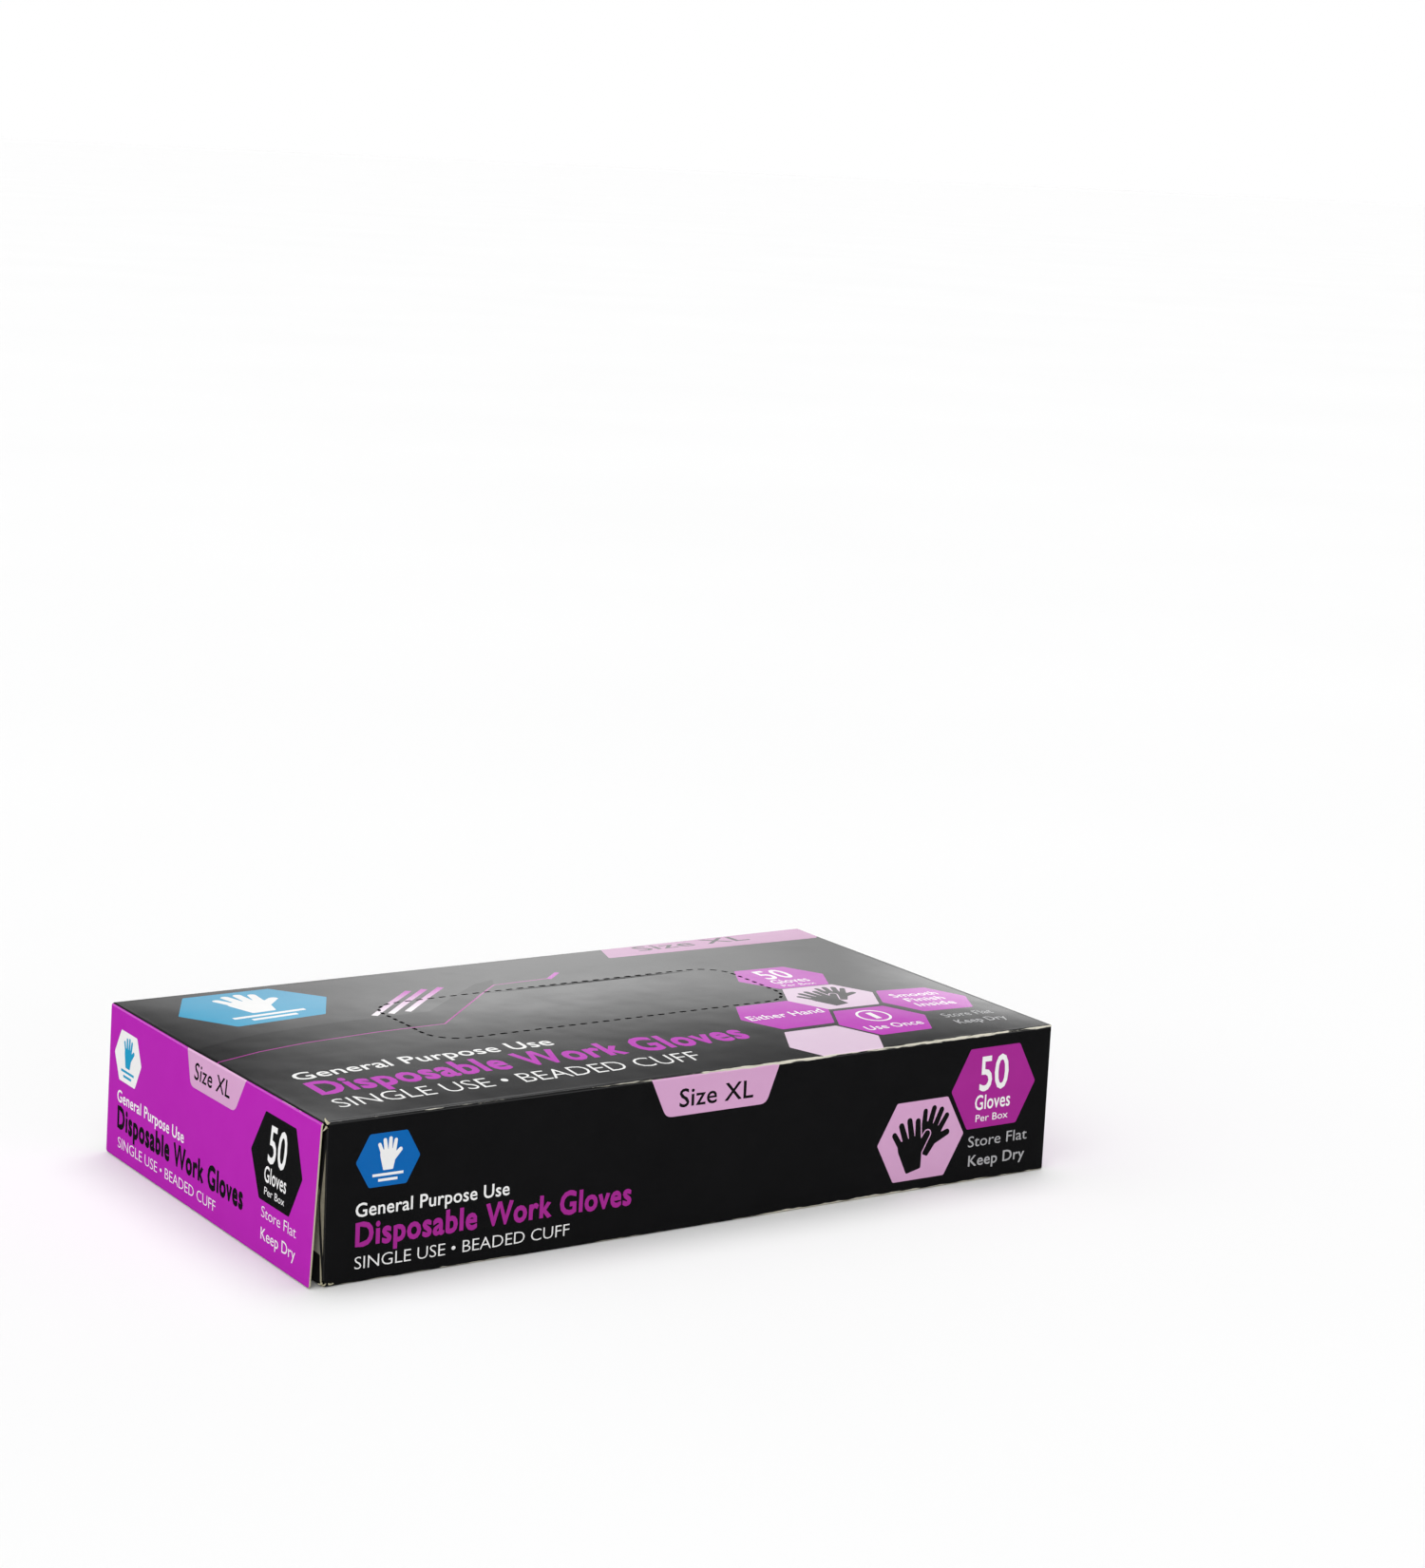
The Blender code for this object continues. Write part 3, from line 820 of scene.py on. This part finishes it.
def make_top():
    """The printed top with its perforated window, and the piece that tears out."""
    length, width = (TEAR_HIGH[k] - TEAR_LOW[k] + 2 * KERF for k in (0, 1))
    middle = tuple((TEAR_HIGH[k] + TEAR_LOW[k]) / 2 for k in (0, 1))
    rear = middle[1] + width / 2
    corners = np.array(rectangle(-length / 2, length / 2, -width / 2, width / 2)) + middle
    window = rounded_frame(corners, WINDOW_RADIUS)
    top = Panel((0, 0, HEIGHT), (1, 0, 0), (0, 1, 0), (-END, END, -FACE, FACE), (1, 1, 1, 1),
                crown_rise)
    notch, deep = FACE - SIDE_TRIM[-1], FACE - SIDE_TRIM[1]
    left, right = -WALL_END[-1], WALL_END[1]
    outline = [(left, -FACE), (right, -FACE), (right, -deep), (END, -deep), (END, deep),
               (right, deep), (right, FACE), (left, FACE), (left, notch), (-END, notch),
               (-END, -notch), (left, -notch)]
    layers = top_art()
    slits = perforation(middle, length, width)
    strips = [[(corners[0][0] - 1, rear - step), (corners[1][0] + 1, rear - step)]
              for step in np.linspace(TEAR_START, TEAR_START + TEAR_BEND, 6)]
    blank = cut_blank(outline, top, layers, [window, *slits, *strips], spacing=4.0)
    uncut = winding(blank[2], slits) == 0
    torn_out = winding(blank[2], [window]) != 0
    for name, kept, body in (("top", ~torn_out, "carton"), ("tear_out", torn_out, None)):
        label = f"{name}_board"
        mesh = board_mesh(label, top, blank, uncut & kept, layers, "charcoal",
                          edge_finish=INKS["shade"])
        piece = add_piece(label, mesh, body, (f"{name}_panel",))
    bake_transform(piece)


# ---------- the glued ends

def bow(side, y, fall):
    """How far an outer flap stands off, by its place in depth and its share of the way down."""
    rear, front = FLAP_BOW[side]
    reach = rear + (front - rear) * (1 - y / FACE) / 2
    return reach * (1 - (1 - np.clip(fall, 0, 1)) ** 3)


def lean(side, y, rise):
    """How far the inner flap leans out behind the outer one, by height above its fold."""
    room = 0.9 * bow(side, y, 1 - np.clip(rise, GLUE_HEIGHT, MID) / HEIGHT)
    curl = np.clip((-y - FACE + INNER_CURL) / INNER_CURL, 0, 1) ** 2 * (side < 0)
    reach = INNER_LEAN + np.maximum(room - INNER_LEAN, 0) * curl
    return reach * np.sin(np.clip(rise / GLUE_HEIGHT, 0, 1) * math.pi / 2)


def make_end(end, side):
    """Outer flap, inner flap and the two dust flaps behind them."""
    right = (0, side, 0)
    trim = FACE - SIDE_TRIM[side]
    edges = (-trim, trim, FLOOR_GAP - MID, MID)

    outer = Panel((side * END, 0, MID), right, (0, 0, 1), edges, (0, 0, 0, 1),
                  lambda a, b: bow(side, side * a, (MID - b) / HEIGHT))
    outline = [(-trim + 0.5, edges[2]), (trim - 0.5, edges[2]), (trim, edges[2] + 0.5), (trim, MID),
               (-trim, MID), (-trim, edges[2] + 0.5)]
    flap = whole_panel(f"{end}_outer_flap", outer, outline, end_art(), "bright magenta")
    if side < 0:
        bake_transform(flap)
    else:
        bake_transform(flap)

    half = box_mm(f"{end}_inner_flap")[1][1] - INNER_TRIM[side]
    inner = Panel((side * INNER_FACE, 0, 0), right, (0, 0, 1), (-half, half, 0, INNER_TOP),
                  (0, 0, 1, 0), lambda a, b: lean(side, side * a, b))
    shoulder, tip = INNER_TOP - FLAP_CORNER, half - FLAP_CORNER
    outline = [(-half, 0), (half, 0), (half, shoulder), (tip, INNER_TOP), (-tip, INNER_TOP),
               (-half, shoulder)]
    flap = whole_panel(f"{end}_inner_flap", inner, outline, ground="unprinted")
    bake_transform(flap)

    tall, tip = MID - DUST_FLAP_TRIM, FACE - DUST_FLAP_REACH
    root, narrow = FACE - DUST_FLAP_TAPER, tall - DUST_FLAP_TAPER
    for wall, to_fold in (("front", -side), ("rear", side)):
        dust = Panel((side * WALL_END[side], 0, MID), right, (0, 0, 1), (-FACE, FACE, -MID, MID),
                     (to_fold < 0, to_fold > 0, 0, 0), lambda a, b: -tuck(side, a), (1, 1, 0, 0))
        shape = [(FACE, -tall), (FACE, tall), (root, tall), (tip, narrow), (tip, -narrow),
                 (root, -tall)]
        whole_panel(f"{end}_{wall}_dust_flap", dust, [(a * to_fold, b) for a, b in shape],
                    ground="unprinted", body="carton")


def tuck(side, a):
    """How far a dust flap leans in behind the inner flap, by its distance from the fold."""
    share = np.clip((FACE - np.abs(a)) / 4.5, 0, 1)
    return (WALL_END[side] - DUST_FACE) * share * share * (3 - 2 * share)


def dot_tree():
    """Pressed dots of glue in a row, each a little different."""
    sizes = ("Length", "Count", "Dot Length", "Dot Width", "Dot Height")
    tree, size = geometry_tree("row of glue dots", sizes)
    half = node(tree, "ShaderNodeMath", {0: size["Length"], 1: 0.5}, operation="MULTIPLY")
    back = node(tree, "ShaderNodeMath", {0: half, 1: -1.0}, operation="MULTIPLY")
    start = node(tree, "ShaderNodeCombineXYZ", {0: back})
    finish = node(tree, "ShaderNodeCombineXYZ", {0: half})
    row = node(tree, "GeometryNodeCurvePrimitiveLine", {"Start": start, "End": finish})
    row = node(tree, "GeometryNodeResampleCurve", {"Curve": row, "Count": size["Count"]})
    dot = node(tree, "GeometryNodeMeshIcoSphere", {"Radius": 0.5, "Subdivisions": 3})
    least = node(tree, "ShaderNodeCombineXYZ", {0: 0.75, 1: 0.7, 2: 0.9})
    most = node(tree, "ShaderNodeCombineXYZ", {0: 1.2, 1: 1.15, 2: 1.0})
    odd = node(tree, "FunctionNodeRandomValue", {0: least, 1: most, "Seed": 4},
               data_type="FLOAT_VECTOR")
    shape = node(tree, "ShaderNodeCombineXYZ", {0: size["Dot Length"], 1: size["Dot Width"],
                                                2: size["Dot Height"]})
    scale = node(tree, "ShaderNodeVectorMath", {0: odd, 1: shape}, operation="MULTIPLY")
    return set_out(tree, GLUE, {"Points": row, "Instance": dot, "Scale": scale})


def make_glue():
    """Hot melt that holds the rear seam and the two ends."""
    tree = dot_tree()
    for cad_node, body in (("seam_glue", "carton"), ("left_end_glue", "left_inner"),
                           ("right_end_glue", "right_inner")):
        low, high = (np.array(corner) for corner in box_mm(cad_node))
        size = high - low
        along, thin = int(np.argmax(size)), int(np.argmin(size))
        mesh = grow(cad_node, tree, {
            "Length": size[along] - 8, "Count": round(size[along] / 10), "Dot Length": 7.5,
            "Dot Width": size[2], "Dot Height": size[thin]})
        places = np.array([v.co[:] for v in mesh.vertices])
        points = np.zeros_like(places)
        points[:, along], points[:, 2], points[:, thin] = places.T
        points += (low + high) / 2
        if thin == 0:
            side = int(np.sign(low[0]))
            y, rise = points[:, 1], points[:, 2]
            inner = INNER_FACE + lean(side, y, rise)
            outer = END - BOARD + bow(side, y, 1 - rise / HEIGHT)
            share = np.abs(points[:, 0]) - min(abs(low[0]), abs(high[0]))
            points[:, 0] = side * (inner + (outer - inner) * share / size[0])
        mesh.vertices.foreach_set("co", (points * MM).astype(np.float32).ravel())
        if np.linalg.det(np.eye(3)[[along, 2, thin]]) < 0:
            mesh.flip_normals()
        add_piece(f"{cad_node}_dots", mesh, body, (cad_node,))


# ---------- gloves

# A flat glove, in shares of its length from the cuff and of its half width
GLOVE_PALM = ((0.0, -0.72), (0.0, 0.72), (0.28, 0.78), (0.48, 0.95), (0.63, 0.97), (0.63, -0.52),
              (0.42, -0.70), (0.28, -0.76))
GLOVE_FINGERS = (
    ((0.56, 0.80), (0.82, 0.79), 10.0, 9.0),
    ((0.56, 0.40), (0.925, 0.41), 10.8, 9.6),
    ((0.56, 0.02), (0.955, 0.02), 10.8, 9.8),
    ((0.56, -0.35), (0.90, -0.38), 10.8, 9.6),
    ((0.33, -0.50), (0.62, -0.83), 16.0, 9.6),     # thumb, laid alongside
)
SHEET_HALF = 0.27      # half the thickness of a glove pressed flat
RIM_HALF = 0.04        # half its thickness at the very edge
RIM = 0.8              # over which a glove's edge rounds off
RUMPLE_TOP = 2.6       # how far the uppermost pair has sprung up
SPRUNG = (100, 62)     # from its middle to where it lies flat again
GLOVE_TRIM = (3.0, 1.2)                     # a glove's length and half width under its room's
SHIFT = 1.0            # how far a glove lies off its place
TWIST = 0.004          # how far it lies askew, in radians


def glove_blank(length, half, spacing):
    """A flat glove's points, triangles and each point's distance from its edge."""
    scale = np.array([length, half])
    origin = np.array([length / 2, 0])
    loops = [np.array(GLOVE_PALM)[::-1] * scale - origin]
    for start, end, low, high in GLOVE_FINGERS:
        loops.append(capsule(start * scale - origin, end * scale - origin, low, high, 10))
    fill = [(x, y) for row, y in enumerate(np.arange(-half, half, spacing * 0.87))
            for x in np.arange(-length / 2 + (row % 2) * spacing / 2, length / 2, spacing)]
    flat, triangles, middles = triangulate(loops, fill, 1e-3)
    covered = np.any([winding(middles, [loop]) != 0 for loop in loops], axis=0)
    used, triangles = np.unique(triangles[covered], return_inverse=True)
    flat, triangles = flat[used], triangles.reshape(-1, 3)
    rim = rim_of(triangles)
    start, along = flat[rim[:, 0]], flat[rim[:, 1]] - flat[rim[:, 0]]
    share = ((flat[:, None] - start) * along).sum(2) / (along * along).sum(1)
    nearest = start + np.clip(share, 0, 1)[..., None] * along
    return flat, triangles, np.linalg.norm(flat[:, None] - nearest, axis=2).min(axis=1)


def rumple(places):
    """Long soft folds and finer draw lines of a glove that has sprung up from the pile."""
    lift = []
    for x, y in places.tolist():
        broad = noise.noise(Vector((x / 48, y / 30, 0.4)))
        fold = 1 - abs(noise.noise(Vector((x / 26 + 3, y / 11, 1.7))))
        fine = 1 - abs(noise.noise(Vector((x / 9 + y / 22, y / 7 - x / 30, 5.1))))
        lift.append(0.9 * broad + 1.5 * fold ** 3 + 0.55 * fine ** 3)
    return np.array(lift)


def make_gloves():
    """Pairs laid flat, every second one turned end for end; the top pair is rumpled."""
    low, high = box_mm("glove_pair_01")
    length, half, pair_height = high[0] - low[0], high[1], high[2] - low[2]
    rows = sorted(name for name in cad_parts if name.startswith("glove_pair"))
    coarse, fine = (glove_blank(length - GLOVE_TRIM[0], half - GLOVE_TRIM[1], spacing)
                    for spacing in (9.0, 2.0))
    chance = np.random.default_rng(5)
    for number, name in enumerate(rows):
        top = number == len(rows) - 1
        flat, triangles, from_rim = fine if top else coarse
        level = sum(box_mm(name)[k][2] for k in (0, 1)) / 2
        fullness = np.sqrt(1 - (1 - np.clip(from_rim / RIM, 0, 1)) ** 2)
        rise = RIM_HALF + (SHEET_HALF - RIM_HALF) * fullness
        end_for_end = 1 - 2 * (number % 2)
        points, faces = [], []
        for layer, mirror in ((-1, 1), (1, -1)):
            turn = chance.uniform(-TWIST, TWIST)
            shift = chance.uniform(-SHIFT, SHIFT, 2)
            places = turned(flat * (end_for_end, end_for_end * mirror), turn) + shift
            middle = level + layer * pair_height / 4
            if top:
                spring = np.clip(1 - (places / SPRUNG) ** 2, 0, 1).prod(axis=1)
                middle = middle + spring * (RUMPLE_TOP + rumple(places))
            first, count = len(points), len(flat)
            for side in (1, -1):
                points += np.column_stack([places, middle + side * rise]).tolist()
            around = triangles if mirror == 1 else triangles[:, ::-1]
            faces += (around + first).tolist() + (around[:, ::-1] + first + count).tolist()
            faces += [(b, a, a + count, b + count) for a, b in (rim_of(around) + first).tolist()]
        mesh = new_mesh(name, points, faces, [NITRILE])
        add_piece(name.replace("pair", "pair_soft"), mesh, "carton", (name,))


# ---------- worn corners

# Torn curls: place from the foot of the front left corner, heading, length, width and turn
CURLS = (
    ((0.2, 0.1, HEIGHT - 0.4), (-0.75, -0.3, 0.55), 2.2, 0.9, 130),
    ((-0.3, 0.3, HEIGHT - 1.0), (-0.5, -0.4, -0.8), 1.8, 0.6, 80),
    ((0.4, 0.0, 1.0), (-0.3, -0.9, -0.3), 1.6, 0.7, 70),
    ((1.4, 0.0, 0.9), (0.5, -0.8, -0.2), 1.5, 0.6, 90),
    ((2.6, 0.0, 0.7), (-0.3, -0.9, 0.1), 1.2, 0.5, 60),
    ((-0.2, 0.2, 1.2), (-0.9, -0.4, -0.2), 1.3, 0.6, 75),
)
CURL_HALF = 0.05       # half the thickness of a torn curl
CURL_STEPS = 8


def make_frays():
    """Torn curls of the white coating at the front left corner."""
    corner = np.array([-WALL_END[-1], -FACE, 0.0])
    points, faces = [], []
    for offset, heading, length, width, curl in CURLS:
        heading = unit(np.array(heading))
        across = unit(np.cross(heading, (0.2, 0.9, 0.4)))
        up = np.cross(across, heading)
        radius = length / math.radians(curl)
        first = len(points)
        for k in range(CURL_STEPS + 1):
            turn = math.radians(curl) * k / CURL_STEPS
            place = corner + offset + radius * (heading * math.sin(turn) + up * (1 - math.cos(turn)))
            out = up * math.cos(turn) - heading * math.sin(turn)
            half = width / 2 * (1 - 0.8 * k / CURL_STEPS)
            for side, rise in ((-1, 1), (1, 1), (1, -1), (-1, -1)):
                points.append(place + across * half * side + out * CURL_HALF * rise)
        for start in range(first, first + 4 * CURL_STEPS, 4):
            for c, n in ((0, 1), (1, 2), (2, 3), (3, 0)):
                faces.append((start + c, start + n, start + 4 + n, start + 4 + c))
        faces.append((first + 3, first + 2, first + 1, first))
        faces.append(tuple(first + 4 * CURL_STEPS + c for c in range(4)))
    mesh = new_mesh("corner_frays", points, faces, [CORE], smooth=False)
    add_piece("corner_frays", mesh, "carton")


make_walls()
make_bottom()
make_top()
make_end("left", -1)
make_end("right", 1)
make_glue()
make_gloves()
make_frays()


# ---------- floor, light and camera

FLOOR_REACH = 30000.0


def add_floor():
    """A wide pale sweep under and round the carton."""
    made, tree, shader, place = new_material("pale painted floor", 0.9)
    tone = mottled(tree, grain(tree, place, 400.0), "#E9E9E9", "#ECECEC")
    tree.links.new(tone, shader.inputs["Base Color"])
    shader.inputs["Specular IOR Level"].default_value = 0.0
    corners = rectangle(-FLOOR_REACH, FLOOR_REACH, -FLOOR_REACH, FLOOR_REACH)
    mesh = new_mesh("floor", [(x, y, 0) for x, y in corners], [(0, 1, 2, 3)], [made], smooth=False)
    floor = put_in_scene("floor", mesh)
    floor.visible_glossy = False


def arc(tree, turn, degrees, most):
    """Rises to most between the first two headings and falls back between the last two."""
    a, b, c, d = (math.radians(v) for v in degrees)
    rise = node(tree, "ShaderNodeMapRange", {0: turn, 1: a, 2: b, 4: most})
    fall = node(tree, "ShaderNodeMapRange", {0: turn, 1: c, 2: d, 3: most, 4: 0.0})
    return node(tree, "ShaderNodeMath", {0: rise, 1: fall}, operation="MINIMUM")


# The room's brightness by height, from straight down at 0 to straight up at 1
ROOM = ((0.0, 0.02), (0.46, 0.02), (0.485, 1.0), (0.575, 1.0), (0.591, 1.15), (0.605, 1.55),
        (0.621, 1.55), (0.646, 0.8), (0.663, 0.5), (0.675, 0.25), (0.69, 0.15), (1.0, 0.35))
# Lamps: where they shine from, how many degrees wide, and how strong
LAMPS = {
    "key lamp": ((-0.75, -0.8, 1.2), 50, 0.95),
    "fill lamp": ((-1.0, 0.25, 0.9), 60, 0.6),
    "top lamp": ((0.3, 0.25, 1.6), 40, 1.7),
}


def add_lights():
    """A pale room that is brightest near the horizon and darker behind, and three soft lamps."""
    world = bpy.data.worlds.new("pale room")
    bpy.context.scene.world = world
    world.use_nodes = True
    tree = world.node_tree
    place = node(tree, "ShaderNodeTexCoord", out="Generated")
    x, y, z = node(tree, "ShaderNodeSeparateXYZ", {0: place}, None).outputs
    height = node(tree, "ShaderNodeMapRange", {0: z, 1: -1.0})
    ramp = node(tree, "ShaderNodeValToRGB", {0: height}, None)
    marks = ramp.color_ramp.elements
    while len(marks) < len(ROOM):
        marks.new(0.5)
    for mark, (where, level) in zip(marks, ROOM):
        mark.position = where
        mark.color = (level, level, level, 1)
    turn = node(tree, "ShaderNodeMath", {0: x, 1: y}, operation="ARCTAN2")
    shaded = node(tree, "ShaderNodeMath", {0: arc(tree, turn, (-15, 10, 23, 29.5), 0.8),
                                           1: arc(tree, turn, (32, 40, 44, 60), 0.5)})
    low = node(tree, "ShaderNodeMapRange", {0: z, 1: 0.19, 2: 0.23, 3: 1.0, 4: 0.0})
    lift = node(tree, "ShaderNodeMath", {0: arc(tree, turn, (37.8, 40, 48, 60), 1.0), 1: low},
                operation="MULTIPLY")
    dim = node(tree, "ShaderNodeMath", {0: shaded, 1: lift}, operation="SUBTRACT")
    above = node(tree, "ShaderNodeMapRange", {0: z, 1: 0.06, 2: 0.12})
    dim = node(tree, "ShaderNodeMath", {0: dim, 1: above}, operation="MULTIPLY")
    strength = node(tree, "ShaderNodeMath", {0: 1.0, 1: dim}, operation="SUBTRACT")
    background = tree.nodes["Background"]
    tree.links.new(ramp.outputs[0], background.inputs["Color"])
    tree.links.new(strength, background.inputs["Strength"])
    for name, (towards, spread, power) in LAMPS.items():
        lamp = bpy.data.lights.new(name, "SUN")
        lamp.angle = math.radians(spread)
        lamp.energy = power
        holder = put_in_scene(name, lamp)
        holder.rotation_euler = (-Vector(towards)).to_track_quat("-Z", "Y").to_euler()


def add_camera():
    azimuth, elevation, roll = (math.radians(a) for a in
                                (CAMERA_AZIMUTH, CAMERA_ELEVATION, CAMERA_ROLL))
    back = Vector((math.sin(azimuth) * math.cos(elevation),
                   -math.cos(azimuth) * math.cos(elevation), math.sin(elevation)))
    level = Vector((math.cos(azimuth), math.sin(azimuth), 0))
    right = level * math.cos(roll) + back.cross(level) * math.sin(roll)
    up = back.cross(right)
    camera = put_in_scene("camera", bpy.data.cameras.new("camera"))
    camera.matrix_world = (Matrix.Translation(CAMERA_PLACE)
                           @ Matrix((right, up, back)).transposed().to_4x4())
    camera.data.lens = CAMERA_LENS
    bpy.context.scene.camera = camera


add_floor()
add_lights()
add_camera()
bpy.context.scene.view_settings.view_transform = "Standard"
